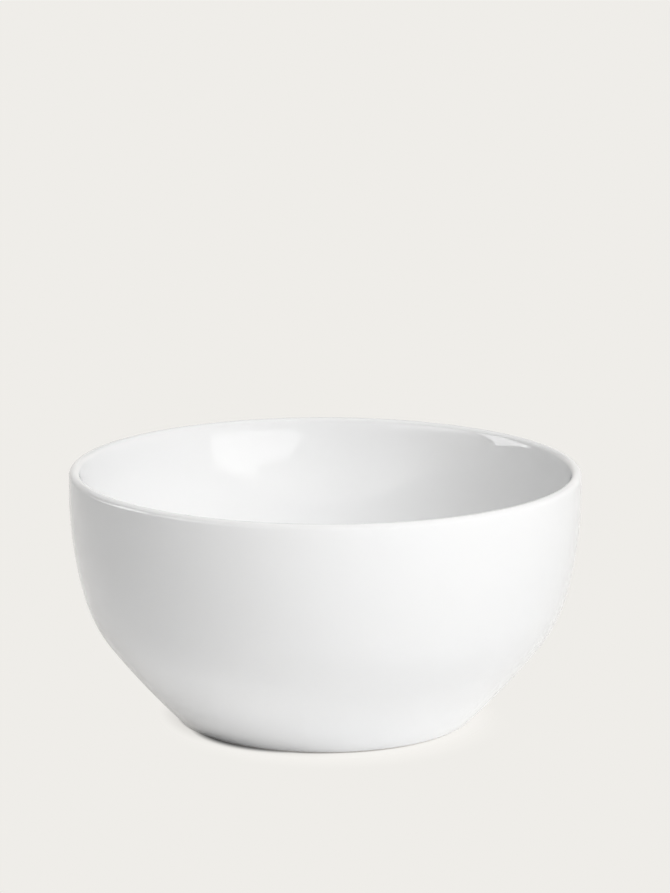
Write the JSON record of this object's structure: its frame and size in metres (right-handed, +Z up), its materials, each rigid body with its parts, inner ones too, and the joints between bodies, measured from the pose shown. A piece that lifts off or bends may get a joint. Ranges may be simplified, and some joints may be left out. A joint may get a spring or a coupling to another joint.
{
  "type": "latte bowl",
  "caption": "Deep white porcelain latte bowl without a handle: upright lip, soft knee, sloping flank, glazed inside and out, standing on a bare foot ring.",
  "frame": {"origin": "centre of the foot ring's bare face, on the table", "axes": "+Z up along the bowl's axis, towards the mouth; X and Y are free, because the bowl is round"},
  "size_m": [0.14, 0.14, 0.069],
  "materials": {
    "bare_porcelain": "matt, unglazed",
    "white_glaze": "clear gloss"
  },
  "bodies": {
    "root": {"porcelain_body": "bare_porcelain", "inner_glaze": "white_glaze", "outer_glaze": "white_glaze", "well_glaze": "white_glaze"}
  },
  "joints": []
}
